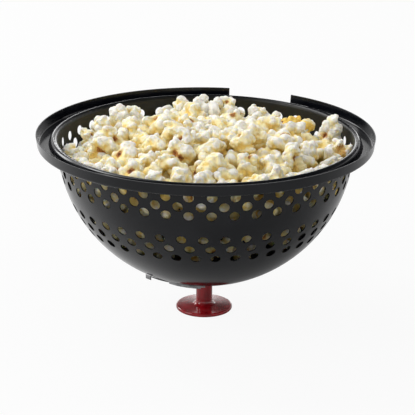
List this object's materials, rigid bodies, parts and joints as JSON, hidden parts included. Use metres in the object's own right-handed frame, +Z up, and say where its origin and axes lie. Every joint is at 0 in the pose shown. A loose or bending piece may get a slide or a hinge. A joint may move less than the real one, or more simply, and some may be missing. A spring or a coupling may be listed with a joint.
{
  "type": "popcorn popper lid bowl",
  "caption": "Perforated steel dome lid of a stovetop popcorn popper, standing on its red knob as a serving bowl, with a notched skirt and a swinging vent cover.",
  "frame": {"origin": "middle of the knob's flat face, where the bowl stands on the worktop", "axes": "+Z up along the knob's axis towards the bowl's open side, +Y to the rear, where the gap in the skirt is, clockwise from it"},
  "size_m": [0.27, 0.27, 0.15],
  "materials": {
    "black_coating": "satin black nonstick coating on pressed steel",
    "cover_steel": "zinc plated, satin",
    "red_knob": "glossy dark cherry red moulded phenolic",
    "plated_steel": "zinc plated",
    "nylon": "natural nylon",
    "brass": "turned"
  },
  "bodies": {
    "bowl": {"bowl_shell": "black_coating", "foot_knob": "red_knob", "knob_insert": "brass", "foot_screw": "plated_steel", "screw_washer": "plated_steel", "slip_washer": "nylon", "pivot_bush": "plated_steel", "spring_washer": "plated_steel"},
    "cover": {"vent_cover": "cover_steel"}
  },
  "joints": [
    {"name": "cover_swing", "type": "hinge", "parent": "bowl", "child": "cover", "pos_m": [0, 0, 0.0273], "axis": [0, 0, 1], "continuous": true}
  ]
}
